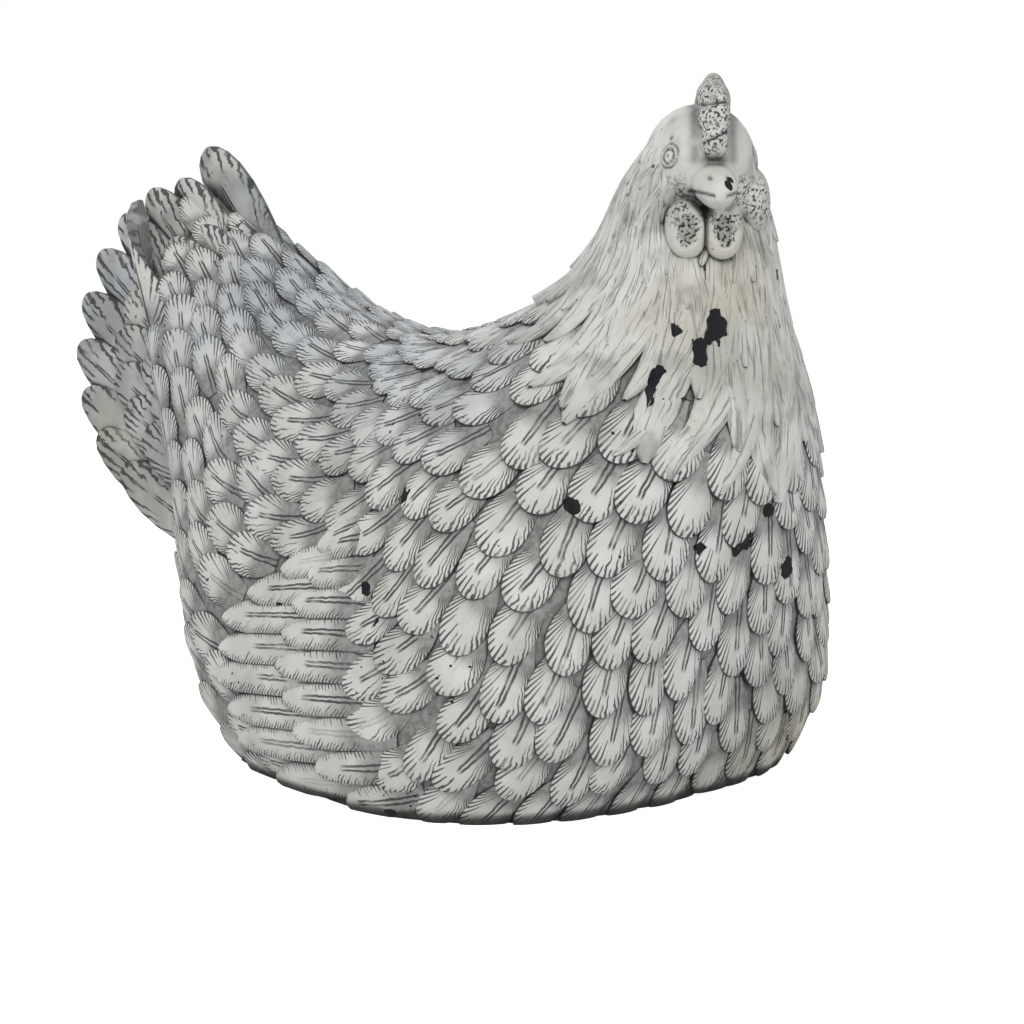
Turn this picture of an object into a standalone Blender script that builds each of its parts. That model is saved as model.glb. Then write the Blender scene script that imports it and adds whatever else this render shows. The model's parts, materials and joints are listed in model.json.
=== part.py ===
"""Hen figurine: a sitting hen cast in one piece, hollow and open underneath.

Metres, +Z up. The hen's breast faces -Y, its right side is at -X, and its head is turned to its
right. The plumage is a loft along the bend that runs from the nape, over the breast and belly, to
the tail. Head, comb, beak, wattles and tail feathers grow out of it, and every feather of the
body is a raised tongue that overlaps the next one along that bend.
"""

from math import cos, pi, radians, sin

import bmesh
import bpy
import numpy as np
from mathutils import Matrix, Vector
from mathutils.kdtree import KDTree

# The side outline, section by section from the nape to the root of the tail: the line of the
# back and the line of the breast and belly as (y, z), and half the hen's width.
BACK_LINE = (
    (-0.083, 0.246),
    (-0.072, 0.230),
    (-0.062, 0.210),
    (-0.048, 0.193),
    (-0.021, 0.178),
    (0.014, 0.169),
    (0.044, 0.167),
    (0.070, 0.169),
    (0.092, 0.175),
    (0.112, 0.184),
    (0.130, 0.195),
    (0.148, 0.205),
    (0.163, 0.213),
    (0.176, 0.219),
)
BREAST_LINE = (
    (-0.110, 0.240),
    (-0.119, 0.208),
    (-0.124, 0.175),
    (-0.127, 0.142),
    (-0.123, 0.105),
    (-0.116, 0.062),
    (-0.104, 0.012),
    (-0.062, -0.026),
    (0.010, -0.036),
    (0.074, -0.024),
    (0.110, 0.010),
    (0.134, 0.050),
    (0.151, 0.090),
    (0.165, 0.125),
)
HALF_WIDTHS = (
    *(0.018, 0.030, 0.038, 0.053, 0.072, 0.088, 0.097),
    *(0.099, 0.094, 0.085, 0.071, 0.059, 0.051, 0.046),
)
SQUARENESS = (2.0, 2.0, 2.0, 2.1, 2.2, 2.3, 2.4, 2.4, 2.35, 2.2, 2.1, 2.0, 2.0, 2.0)
BACK_PINCH = (0.0, 0.0, 0.0, 0.02, 0.08, 0.18, 0.32, 0.40, 0.40, 0.38, 0.38, 0.40, 0.44, 0.46)

# The shell
WALL = 0.0055
CAVITY_TOP = 0.13
CAVITY_TAIL = 0.85
CAVITY_DOME = 0.42
RUMP_DOME = 0.45

# The head, in its own frame: width across, length forward, height up
HEAD_CENTRE = (0.0, -0.096, 0.230)
HEAD_SIZE = (0.043, 0.058, 0.052)
HEAD_TURN = 36.0
BEAK_SIZE = (0.0165, 0.031, 0.0145)
JAW_SIZE = (0.0125, 0.022, 0.008)
WATTLE_SIZE = (0.0155, 0.010, 0.0225)
CHEEK_SIZE = (0.009, 0.023, 0.021)
COMB_SIZE = (0.0115, 0.052, 0.034)
COMB_LEAN = 0.002
COMB_LOBE_SIZE = (0.012, 0.014, 0.015)
# The comb's points from the beak to the nape, forward and up, as shares of the head's size
COMB_POINTS = ((0.47, 0.20), (0.42, 0.37), (0.32, 0.50), (0.13, 0.53), (-0.07, 0.50), (-0.24, 0.41))

# The tail: a fan of round-tipped feathers on each side
FAN_FEATHERS = 9
FAN_PIVOT = (0.100, 0.150)
FAN_TOP = 39.0
FAN_BOTTOM = -25.0
FAN_REACH = 0.142
FAN_ROUNDING = 0.092
FAN_LONGEST = 0.375
FAN_CROWDING = 1.25
FAN_LEAN_TOP = 46.0
FAN_LEAN_BOTTOM = 27.0
FAN_FLARE_TOP = 0.012
FAN_FLARE_BOTTOM = 0.050
FAN_SPREAD = 0.18
FAN_TWIST = (0.15, 0.3)
CREST_TURN = 44.7
CREST_REACH = 0.135
CREST_SIZE = (0.011, 0.080, 0.027)
# The fan's ring of long feathers, the backing that they are cast on and the shorter feathers
# over their roots: how far in from the fan's tips, how far outward, the size of a feather and
# whether it lies between two of the fan
FAN_RINGS = (
    (0.0, 0.0, (0.009, 0.076, 0.0250), 0.0),
    (0.030, -0.0040, (0.017, 0.092, 0.0340), 0.0),
    (0.034, 0.0030, (0.010, 0.054, 0.0260), 0.5),
    (0.057, 0.0045, (0.012, 0.070, 0.0280), 0.0),
)

# Body feathers. Those behind REAR_START and above BACK_START are smaller.
ROW_PITCH = 0.0145
FEATHER_SPACING = 0.0168
FEATHER_LENGTH = 0.029
FEATHER_RISE = 0.0038
FEATHER_DEPTH = 0.012
REAR_SHRINK = 0.16
REAR_START = (-0.02, 0.06)
BACK_START = (0.14, 0.17)

# Neck hackle: long locks that end in a fringe
LOCK_COUNT = 26
LOCK_ROWS = 6
LOCK_ROW_PITCH = 0.017
LOCK_LENGTH = 0.052
LOCK_RISE = 0.0046
FRINGE_BACK = 0.255
FRINGE_BREAST = 0.290
UNDER_FRINGE = 0.08

# Folded wing: long feathers that lie level along each side
QUILLS = 10
WING_TOP = 0.106
QUILL_PITCH = 0.0112
QUILL_RISE = 0.0045
WING_FRONT = -0.020
WING_SLANT = 0.0045
WING_REACH = 0.068
QUILL_DROOP = 0.012

VOXEL = 0.0013
TRIANGLES = 11300
SEED = 7


def spline(values, s):
    """A smooth curve through evenly spaced values, read at s from 0 to 1."""
    values = np.asarray(values, float)
    last = len(values) - 1
    place = np.clip(s, 0.0, 1.0) * last
    i = np.minimum(place.astype(int), last - 1)
    f = place - i
    a, b, c, d = (values[np.clip(i + k, 0, last)] for k in (-1, 0, 1, 2))
    return b + 0.5 * f * (c - a + f * (2 * a - 5 * b + 4 * c - d + f * (3 * (b - c) + d - a)))


def step(low, high, value):
    """0 below low, 1 above high and smooth between them."""
    f = np.clip((value - low) / (high - low), 0.0, 1.0)
    return f * f * (3 - 2 * f)


def plumage(s, t):
    """Points of the plumage: s runs from the nape to the tail, t round it from back to belly."""
    s, t = np.broadcast_arrays(np.asarray(s, float), np.asarray(t, float))
    back_y, back_z = (spline([p[i] for p in BACK_LINE], s) for i in (0, 1))
    front_y, front_z = (spline([p[i] for p in BREAST_LINE], s) for i in (0, 1))
    half_y, half_z = (back_y - front_y) / 2, (back_z - front_z) / 2
    power = spline(SQUARENESS, s)
    c, w = np.cos(t), np.sin(t)
    radius = (np.abs(c) ** power + np.abs(w) ** power) ** (-1 / power)
    x = spline(HALF_WIDTHS, s) * radius * w * (1 - spline(BACK_PINCH, s) * c)
    y = (back_y + front_y) / 2 + half_y * radius * c
    z = (back_z + front_z) / 2 + half_z * radius * c
    return np.stack([x, y, z], -1)


def unit(vectors):
    return vectors / np.linalg.norm(vectors, axis=-1, keepdims=True)


def feather_frame(s, t):
    """The direction in which feathers lie at s, t, the direction across them, and outward."""
    small = 1e-3
    along = unit(plumage(s + small, t) - plumage(s - small, t))
    out = unit(np.cross(plumage(s, t + small) - plumage(s, t - small), along))
    return along, np.cross(out, along), out


def domed(points, dome):
    """The rings of a loft with rings added that round off both ends, dome of their radius deep."""
    rings = list(points)
    for end, inner in ((0, 1), (-1, -2)):
        last = rings[end]
        middle = last.mean(axis=0)
        outward = unit(middle - rings[inner].mean(axis=0))
        depth = dome * np.linalg.norm(last - middle, axis=1).mean()
        for turn in (30, 55, 75):
            ring = middle + (last - middle) * cos(radians(turn)) + outward * depth * sin(radians(turn))
            rings.insert(0 if end == 0 else len(rings), ring)
    return rings


def plumage_shape(start, end, rings, around, dome, inset=0.0):
    """The plumage from start to end as a closed shape, a grid of faces with round ends. It lies
    inset under the skin."""
    s = np.linspace(start, end, rings)[:, None]
    t = np.linspace(0, 2 * pi, around, endpoint=False)
    points = plumage(s, t) - inset * feather_frame(s, t)[2]
    shape = bmesh.new()
    loops = [[shape.verts.new(p) for p in ring] for ring in domed(points, dome)]
    for low, high in zip(loops, loops[1:]):
        for k in range(around):
            n = (k + 1) % around
            shape.faces.new((low[k], low[n], high[n], high[k]))
    shape.faces.new(loops[0][::-1])
    shape.faces.new(loops[-1])
    bmesh.ops.recalc_face_normals(shape, faces=shape.faces)
    return shape


def egg(size, place, fullness=1.0):
    """A ball of the given width, length and height. Fullness under 1 squares its ends off."""
    shape = bmesh.new()
    bmesh.ops.create_uvsphere(shape, u_segments=24, v_segments=14, radius=1.0)
    for vert in shape.verts:
        shares = [abs(c) ** fullness * (1 if c > 0 else -1) for c in vert.co]
        vert.co = Vector([c * w / 2 for c, w in zip(shares, size)])
    shape.transform(place)
    return shape


def head_place(across, forward, up, roll=0.0, pitch=0.0, yaw=0.0):
    """A place in the head's frame, from its centre."""
    turned = Matrix.Translation(HEAD_CENTRE) @ Matrix.Rotation(radians(-HEAD_TURN), 4, "Z")
    tilt = Matrix.Rotation(radians(pitch), 4, "X") @ Matrix.Rotation(radians(roll), 4, "Y")
    swung = Matrix.Rotation(radians(yaw), 4, "Z") @ tilt
    return turned @ Matrix.Translation((across, -forward, up)) @ swung


def head_shapes():
    """The skull, beak, cheeks, wattles and comb. Places in the head are shares of its size."""
    width, length, height = HEAD_SIZE
    shapes = [egg(HEAD_SIZE, head_place(0, 0, 0), 0.92)]
    shapes.append(egg(BEAK_SIZE, head_place(0, 0.49 * length, -0.06 * height, pitch=22), 1.1))
    shapes.append(egg(JAW_SIZE, head_place(0, 0.47 * length, -0.19 * height, pitch=22)))
    for side in (-1, 1):
        cheek = head_place(side * 0.38 * width, 0.20 * length, -0.13 * height, yaw=side * 24)
        shapes.append(egg(CHEEK_SIZE, cheek))
        across = side * 0.5 * WATTLE_SIZE[0] - COMB_LEAN
        wattle = head_place(across, 0.47 * length, -0.42 * height, roll=-side * 5)
        shapes.append(egg(WATTLE_SIZE, wattle, 0.9))
    shapes.append(egg(COMB_SIZE, head_place(COMB_LEAN, 0.12 * length, 0.38 * height)))
    for forward, up in COMB_POINTS:
        lobe = head_place(COMB_LEAN, forward * length, up * height)
        shapes.append(egg(COMB_LOBE_SIZE, lobe))
    return shapes


def tail_feather(turn, reach, lean, flare, size):
    """A round-tipped tail feather. Its tip lies at turn and reach from the pivot, flare off the
    middle, and the feather leans back by lean."""
    turn, lean = radians(turn), radians(lean)
    tip = Vector((flare, FAN_PIVOT[0] + reach * cos(turn), FAN_PIVOT[1] + reach * sin(turn)))
    root = tip - size[1] * Vector((FAN_SPREAD * flare / FAN_FLARE_BOTTOM, cos(lean), sin(lean)))
    forward = (tip - root).normalized()
    flat = Vector((1, *FAN_TWIST)) if flare > 0 else Vector((1, *(-twist for twist in FAN_TWIST)))
    flat = (flat - flat.dot(forward) * forward).normalized()
    place = Matrix((flat, forward, flat.cross(forward))).transposed().to_4x4()
    place.translation = (root + tip) / 2
    return egg(size, place, 0.72)


def tail_shapes():
    """The crest feather, and on each side the fan."""
    shapes = [tail_feather(CREST_TURN, CREST_REACH, FAN_LEAN_TOP, 0.0, CREST_SIZE)]
    for inward, outward, size, stagger in FAN_RINGS:
        for f in np.arange(stagger, FAN_FEATHERS - 0.5 - stagger) / (FAN_FEATHERS - 1):
            turn = FAN_TOP + (FAN_BOTTOM - FAN_TOP) * f**FAN_CROWDING
            reach = FAN_REACH - FAN_ROUNDING * (f - FAN_LONGEST) ** 2 - inward
            lean = FAN_LEAN_TOP + (FAN_LEAN_BOTTOM - FAN_LEAN_TOP) * f
            flare = FAN_FLARE_TOP + (FAN_FLARE_BOTTOM - FAN_FLARE_TOP) * sin(pi / 2 * f) + outward
            shapes.append(tail_feather(turn, reach, lean, -flare, size))
            shapes.append(tail_feather(turn, reach, lean, flare, size))
    return shapes


def fused(name, shapes):
    """One skin round all the shapes."""
    whole = bmesh.new()
    for shape in shapes:
        part = bpy.data.meshes.new("part")
        shape.to_mesh(part)
        shape.free()
        whole.from_mesh(part)
        bpy.data.meshes.remove(part)
    rough = bpy.data.meshes.new(name)
    whole.to_mesh(rough)
    whole.free()
    solid = bpy.data.objects.new(name, rough)
    bpy.context.scene.collection.objects.link(solid)
    skin = solid.modifiers.new("Skin", "REMESH")
    skin.mode = "VOXEL"
    skin.voxel_size = VOXEL
    bpy.context.view_layer.update()
    mesh = bpy.data.meshes.new_from_object(solid.evaluated_get(bpy.context.evaluated_depsgraph_get()))
    bpy.data.objects.remove(solid)
    bpy.data.meshes.remove(rough)
    mesh.name = name
    return mesh


class Chart:
    """Where points of the skin lie on the plumage: s and t, the flow length along s, and how far
    off it they are."""

    def __init__(self, points):
        self.s_grid, self.t_grid = np.linspace(0, 1, 261), np.linspace(-pi, pi, 241)
        grid = plumage(self.s_grid[:, None], self.t_grid[None, :])
        lengths = np.linalg.norm(np.diff(grid, axis=0), axis=2)
        self.flow_grid = np.vstack([np.zeros(len(self.t_grid)), np.cumsum(lengths, axis=0)])
        tree = KDTree(grid.shape[0] * grid.shape[1])
        for i, p in enumerate(grid.reshape(-1, 3)):
            tree.insert(p, i)
        tree.balance()
        near = np.array([tree.find(p)[1] for p in points])
        s, t = self.s_grid[near // len(self.t_grid)], self.t_grid[near % len(self.t_grid)]
        small = 1e-3
        for _ in range(2):
            by_s = (plumage(s + small, t) - plumage(s - small, t)) / (2 * small)
            by_t = (plumage(s, t + small) - plumage(s, t - small)) / (2 * small)
            off = points - plumage(s, t)
            ss, tt, st = (by_s * by_s).sum(1), (by_t * by_t).sum(1), (by_s * by_t).sum(1)
            on_s, on_t = (off * by_s).sum(1), (off * by_t).sum(1)
            det = ss * tt - st * st + 1e-18
            s = np.clip(s + np.clip((on_s * tt - on_t * st) / det, -0.02, 0.02), 0, 1)
            t = t + np.clip((on_t * ss - on_s * st) / det, -0.05, 0.05)
        self.s, self.t = s, t
        self.off = np.linalg.norm(points - plumage(s, t), axis=1)
        self.round = np.linalg.norm(by_t, axis=1)
        self.flow = self.flow_at(s, t)

    def flow_at(self, s, t):
        """Flow length from the nape to s, t."""
        i = np.clip(s * (len(self.s_grid) - 1), 0, len(self.s_grid) - 1.001)
        turned = (t + pi) % (2 * pi)
        k = np.clip(turned / (2 * pi) * (len(self.t_grid) - 1), 0, len(self.t_grid) - 1.001)
        a, b = i.astype(int), k.astype(int)
        f, g = i - a, k - b
        low = self.flow_grid[a, b] * (1 - g) + self.flow_grid[a, b + 1] * g
        high = self.flow_grid[a + 1, b] * (1 - g) + self.flow_grid[a + 1, b + 1] * g
        return low * (1 - f) + high * f

    def rows(self, start, pitch):
        """The s of rows that lie a pitch apart, on average round the hen."""
        mean = self.flow_grid.mean(axis=1)
        first = np.interp(start, self.s_grid, mean)
        return np.interp(np.arange(first, mean[-1], pitch), mean, self.s_grid)


def tongue(u, v, rise, dome):
    """Height of a feather at u along it and v across: it rises to a round tip and falls off at
    its edge."""
    tip_start = 0.62
    edge = np.hypot(np.clip((u - tip_start) / (1 - tip_start), 0, None), v)
    height = rise * (0.2 + 0.8 * u) * (1 - dome * v * v)
    height = height * (1 - 0.35 * step(0.72, 1.0, edge))
    return np.where((edge < 1) & (u > 0), height, 0.0)


def in_wing(point):
    """Whether a point of the body lies under the folded wing's long feathers."""
    row = (WING_TOP - point[2]) / QUILL_PITCH
    if not -0.5 < row < QUILLS:
        return False
    front = WING_FRONT - WING_SLANT * row
    return front - 0.2 * QUILL_DROOP < point[1] < quill_tip(row) - 0.4 * FEATHER_LENGTH


def feather_spots(chart):
    """Where the body feathers grow: s, t, the place and the size, as a share of the breast's.
    They are set from the nape to the tail, each as close to the last ones as its size lets it."""
    spots, taken = [], np.empty((0, 3))
    half_turn = np.linspace(0, pi, 181)
    fine = ROW_PITCH / 8
    for s in chart.rows(FRINGE_BACK - UNDER_FRINGE, fine):
        ring = plumage(s, half_turn)
        arc = np.concatenate([[0], np.cumsum(np.linalg.norm(np.diff(ring, axis=0), axis=1))])
        turns = np.interp(np.arange(0, arc[-1], fine), arc, half_turn)
        turns = np.concatenate([turns, -turns[::-1]])
        places = plumage(s, turns)
        along, across, _ = feather_frame(s, turns)
        share = 1 - REAR_SHRINK * np.maximum(
            step(*REAR_START, places[:, 1]), step(*BACK_START, places[:, 2])
        )
        fringe = FRINGE_BACK + (FRINGE_BREAST - FRINGE_BACK) * (1 - np.cos(turns)) / 2
        shown = chart.flow_at(s, turns) + 0.8 * FEATHER_LENGTH * share > chart.flow_at(fringe, turns)
        shown &= places[:, 2] > -0.8 * FEATHER_LENGTH
        for k in np.flatnonzero(shown):
            apart = taken - places[k]
            row = apart @ along[k] / (ROW_PITCH / cos(radians(30)))
            column = apart @ across[k] / FEATHER_SPACING
            if np.all(np.hypot(row, column) > share[k]) and not in_wing(places[k]):
                spots.append((s, turns[k], places[k], share[k]))
                taken = np.vstack([taken, places[k]])
    return spots


def body_feathers(chart, points):
    """Heights of the body feathers over the points of the skin."""
    chance = np.random.default_rng(SEED)
    height = np.zeros(len(points))
    order = np.argsort(points[:, 0])
    ranked = points[order]
    for s, t, here, share in feather_spots(chart):
        length = FEATHER_LENGTH * share * chance.uniform(0.94, 1.06)
        half = 0.56 * FEATHER_SPACING * share * chance.uniform(0.94, 1.06)
        turn = chance.normal(0, 0.10)
        along, across, out = feather_frame(s, t)
        along, across = (
            along * cos(turn) + across * sin(turn),
            across * cos(turn) - along * sin(turn),
        )
        reach = length + half
        low, high = np.searchsorted(ranked[:, 0], (here[0] - reach, here[0] + reach))
        offset = ranked[low:high] - here
        u, v = offset @ along / length, offset @ across / half
        near = (u > 0) & (u < 1) & (np.abs(v) < 1) & (np.abs(offset @ out) < FEATHER_DEPTH)
        hit = order[low:high][near]
        height[hit] = np.maximum(height[hit], tongue(u[near], v[near], FEATHER_RISE * share, 0.30))
    return height


def hackle(chart):
    """Heights of the neck's locks."""
    chance = np.random.default_rng(SEED + 1)
    height = np.zeros(len(chart.s))
    zone = np.flatnonzero(chart.s < FRINGE_BREAST + 0.06)
    s, t, flow, girth = chart.s[zone], chart.t[zone], chart.flow[zone], chart.round[zone]
    fringe = FRINGE_BACK + (FRINGE_BREAST - FRINGE_BACK) * (1 - np.cos(t)) / 2
    fringe_flow = chart.flow_at(fringe, t)
    for row in range(LOCK_ROWS):
        for k in range(LOCK_COUNT):
            middle = 2 * pi * (k + 0.5 * (row % 2) + chance.normal(0, 0.10)) / LOCK_COUNT
            tip = -row * LOCK_ROW_PITCH + chance.normal(0, 0.004)
            sway, phase = chance.uniform(0.05, 0.12), chance.uniform(0, 2 * pi)
            length = LOCK_LENGTH * chance.uniform(0.85, 1.15)
            u = (flow - fringe_flow - tip) / length + 1
            bend = sway * np.sin(phase + 3.0 * u)
            v = ((t - middle - bend + pi) % (2 * pi) - pi) * LOCK_COUNT / (2 * pi) / 0.68
            near = (u > 0) & (u < 1) & (np.abs(v) < 1)
            rise = LOCK_RISE * (1 - 0.62 * min(1, row / 2))
            bump = tongue(u[near], v[near] * (1 + 0.35 * u[near]), rise, 0.75)
            hit = zone[near]
            height[hit] = np.maximum(height[hit], bump)
    return height


def quill_tip(row):
    """How far back a long wing feather reaches, counted in rows from the top."""
    return WING_REACH * sin(pi * (row + 0.35) / (QUILLS - 0.3))


def wing(points, chart):
    """Heights of the folded wings' long feathers."""
    side = np.abs(np.sin(chart.t)) > 0.35
    height = np.zeros(len(points))
    y, z = points[:, 1], points[:, 2]
    for layer, share in ((0, 1.0), (1, 0.52)):
        for i in range(QUILLS - layer):
            row = i + 0.5 * layer
            root_y, root_z = WING_FRONT - WING_SLANT * row, WING_TOP - QUILL_PITCH * row
            length = (quill_tip(row) - root_y) * share
            u = (y - root_y) / length
            v = (z - root_z + QUILL_DROOP * u * share) / (0.62 * QUILL_PITCH)
            near = side & (u > 0) & (u < 1) & (np.abs(v) < 1)
            bump = tongue(u[near], v[near], QUILL_RISE * (1 + 0.25 * layer), 0.35)
            height[near] = np.maximum(height[near], bump)
    return height


def carve(mesh):
    """Raises the feathers on the skin."""
    count = len(mesh.vertices)
    points, normals = np.empty(count * 3), np.empty(count * 3)
    mesh.vertices.foreach_get("co", points)
    mesh.vertex_normals.foreach_get("vector", normals)
    points, normals = points.reshape(-1, 3), normals.reshape(-1, 3)
    chart = Chart(points)
    height = np.maximum(body_feathers(chart, points), np.maximum(hackle(chart), wing(points, chart)))
    height *= 1 - step(0.0025, 0.0055, chart.off)
    points = points + normals * height[:, None]
    mesh.vertices.foreach_set("co", points.ravel())
    mesh.update()


def footprint_centre(mesh):
    """The middle of the hen's box, which becomes the origin, as seen from above."""
    points = np.empty(len(mesh.vertices) * 3)
    mesh.vertices.foreach_get("co", points)
    points = points.reshape(-1, 3)
    middle = (points.min(axis=0) + points.max(axis=0)) / 2
    return Vector((middle[0], middle[1], 0.0))


def placed(name, mesh, collection, centre):
    made = bpy.data.objects.new(name, mesh)
    made.location = -centre
    collection.objects.link(made)
    return made


def cut(figure, name, shape, collection):
    """Takes a shape away from the figure."""
    mesh = bpy.data.meshes.new(name)
    shape.to_mesh(mesh)
    shape.free()
    cutter = placed(name, mesh, collection, -figure.location)
    cutter.hide_render = True
    cutter.display_type = "WIRE"
    taken = figure.modifiers.new(name, "BOOLEAN")
    taken.operation = "DIFFERENCE"
    taken.solver = "EXACT"
    taken.object = cutter


def antiqued_white():
    """Off-white paint, rubbed back, over the cast body."""
    material = bpy.data.materials.new("antiqued_white")
    material.use_nodes = True
    shader = material.node_tree.nodes["Principled BSDF"]
    shader.inputs["Base Color"].default_value = (0.56, 0.55, 0.51, 1.0)
    shader.inputs["Roughness"].default_value = 0.75
    shader.inputs["Metallic"].default_value = 0.0
    return material


def hen():
    parts = bpy.data.collections.new("hen_figurine")
    cutters = bpy.data.collections.new("cutters")
    bpy.context.scene.collection.children.link(parts)
    bpy.context.scene.collection.children.link(cutters)
    mesh = fused("hen_figurine", [plumage_shape(0, 1, 90, 72, RUMP_DOME), *head_shapes(), *tail_shapes()])
    carve(mesh)
    mesh.materials.append(antiqued_white())
    figure = placed("hen_figurine", mesh, parts, footprint_centre(mesh))
    fewer = figure.modifiers.new("Fewer faces", "DECIMATE")
    mesh.calc_loop_triangles()
    fewer.ratio = TRIANGLES / len(mesh.loop_triangles)
    fewer.use_collapse_triangulate = True
    below = bmesh.new()
    bmesh.ops.create_cube(below, size=1.0, matrix=Matrix.Translation((0, 0, -0.5)))
    cut(figure, "ground", below, cutters)
    cut(figure, "cavity", plumage_shape(CAVITY_TOP, CAVITY_TAIL, 15, 24, CAVITY_DOME, WALL), cutters)


for leftover in list(bpy.data.objects):
    bpy.data.objects.remove(leftover)
hen()
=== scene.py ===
"""Hen figurine: a sitting hen cast in one piece, hollow and open underneath, in antiqued white.

Metres, +Z up. The hen's breast faces -Y, its right side is at -X and its head is turned to its
right. Lengths are written in the maker's frame, whose origin is under the hen's wings, and the
finished casting is moved by FOOTPRINT to the middle of its box.
"""

import json
from math import cos, pi, radians, sin

import bmesh
import bpy
import numpy as np
from mathutils import Matrix, Vector
from mathutils.kdtree import KDTree

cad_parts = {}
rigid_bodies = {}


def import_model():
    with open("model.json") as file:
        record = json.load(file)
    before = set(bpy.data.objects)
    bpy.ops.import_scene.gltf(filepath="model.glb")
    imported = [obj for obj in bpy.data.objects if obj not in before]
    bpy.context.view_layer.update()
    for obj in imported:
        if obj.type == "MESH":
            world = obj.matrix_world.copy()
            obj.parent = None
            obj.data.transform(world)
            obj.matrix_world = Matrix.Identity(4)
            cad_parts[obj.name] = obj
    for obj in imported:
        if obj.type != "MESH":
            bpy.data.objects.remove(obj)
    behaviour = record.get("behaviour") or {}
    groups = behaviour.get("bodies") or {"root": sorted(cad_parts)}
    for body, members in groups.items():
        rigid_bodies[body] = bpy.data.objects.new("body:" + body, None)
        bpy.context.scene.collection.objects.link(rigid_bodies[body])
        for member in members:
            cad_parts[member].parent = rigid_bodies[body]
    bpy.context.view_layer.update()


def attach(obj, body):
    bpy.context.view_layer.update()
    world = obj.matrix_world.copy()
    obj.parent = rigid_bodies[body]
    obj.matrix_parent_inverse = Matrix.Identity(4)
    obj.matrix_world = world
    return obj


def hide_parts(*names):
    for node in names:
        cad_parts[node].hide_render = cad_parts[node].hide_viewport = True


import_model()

# Camera: at the height of the hen's neck, 45 degrees round to the hen's right, where its turned
# head looks, and 0.9 m away, with a short telephoto lens.
FOOTPRINT = Vector((0.0, 0.0537, 0.0))
VIEW_AZIMUTH = radians(-45.0)
VIEW_ELEVATION = radians(7.5)
VIEW_DISTANCE = 0.9102
VIEW_TARGET = Vector((0.0, 0.0, 0.0983)) - FOOTPRINT
LENS = 80.0

lens = bpy.data.cameras.new("camera")
lens.lens = LENS
lens.sensor_width = 36.0
lens.clip_start = 0.01
camera = bpy.data.objects.new("camera", lens)
bpy.context.scene.collection.objects.link(camera)
from_target = Vector((
    sin(VIEW_AZIMUTH) * cos(VIEW_ELEVATION),
    -cos(VIEW_AZIMUTH) * cos(VIEW_ELEVATION),
    sin(VIEW_ELEVATION),
))
camera.location = VIEW_TARGET + from_target * VIEW_DISTANCE
camera.rotation_euler = from_target.to_track_quat("Z", "Y").to_euler()
bpy.context.scene.camera = camera


# The body: the smooth form that carries the feathers, cast in one with them. It is lofted through
# sections along the bend from the nape, over the breast and the belly, to the root of the tail.
BACK_LINE = (
    (-0.083, 0.246), (-0.072, 0.230), (-0.062, 0.210), (-0.048, 0.193), (-0.021, 0.178),
    (0.014, 0.169), (0.044, 0.167), (0.070, 0.169), (0.092, 0.175), (0.112, 0.184),
    (0.130, 0.195), (0.148, 0.205), (0.163, 0.213), (0.176, 0.219),
)
BREAST_LINE = (
    (-0.110, 0.240), (-0.119, 0.208), (-0.124, 0.175), (-0.127, 0.142), (-0.123, 0.105),
    (-0.116, 0.062), (-0.104, 0.012), (-0.062, -0.026), (0.010, -0.036), (0.074, -0.024),
    (0.110, 0.010), (0.134, 0.050), (0.151, 0.090), (0.165, 0.125),
)
HALF_WIDTHS = (
    0.018, 0.030, 0.038, 0.053, 0.072, 0.088, 0.097,
    0.099, 0.094, 0.085, 0.071, 0.059, 0.051, 0.046,
)
SQUARENESS = (2.0, 2.0, 2.0, 2.1, 2.2, 2.3, 2.4, 2.4, 2.35, 2.2, 2.1, 2.0, 2.0, 2.0)
BACK_PINCH = (0.0, 0.0, 0.0, 0.02, 0.08, 0.18, 0.32, 0.40, 0.40, 0.38, 0.38, 0.40, 0.44, 0.46)
RUMP_DOME = 0.45
SKIN, FEATHER, LOCK, QUILL, TAIL, HEAD, INSIDE = range(7)

casting = bpy.data.collections.new("casting")
bpy.context.scene.collection.children.link(casting)


def spline(values, s):
    """A smooth curve through evenly spaced values, read at s from 0 to 1."""
    values = np.asarray(values, float)
    last = len(values) - 1
    place = np.clip(s, 0.0, 1.0) * last
    i = np.minimum(place.astype(int), last - 1)
    f = place - i
    a, b, c, d = (values[np.clip(i + k, 0, last)] for k in (-1, 0, 1, 2))
    return b + 0.5 * f * (c - a + f * (2 * a - 5 * b + 4 * c - d + f * (3 * (b - c) + d - a)))


def step(low, high, value):
    """0 below low, 1 above high and smooth between them."""
    f = np.clip((value - low) / (high - low), 0.0, 1.0)
    return f * f * (3 - 2 * f)


def plumage(s, t):
    """Points of the body: s runs from the nape to the tail, t round it from back to belly."""
    s, t = np.broadcast_arrays(np.asarray(s, float), np.asarray(t, float))
    back_y, back_z = (spline([p[i] for p in BACK_LINE], s) for i in (0, 1))
    front_y, front_z = (spline([p[i] for p in BREAST_LINE], s) for i in (0, 1))
    half_y, half_z = (back_y - front_y) / 2, (back_z - front_z) / 2
    power = spline(SQUARENESS, s)
    c, w = np.cos(t), np.sin(t)
    radius = (np.abs(c) ** power + np.abs(w) ** power) ** (-1 / power)
    x = spline(HALF_WIDTHS, s) * radius * w * (1 - spline(BACK_PINCH, s) * c)
    y = (back_y + front_y) / 2 + half_y * radius * c
    z = (back_z + front_z) / 2 + half_z * radius * c
    return np.stack([x, y, z], -1)


def unit(vectors):
    return vectors / np.linalg.norm(vectors, axis=-1, keepdims=True)


def slopes(s, t):
    """How the body's points move with s and with t, and the outward direction."""
    small = 1e-3
    by_s = (plumage(s + small, t) - plumage(s - small, t)) / (2 * small)
    by_t = (plumage(s, t + small) - plumage(s, t - small)) / (2 * small)
    return by_s, by_t, unit(np.cross(by_t, by_s))


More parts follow.
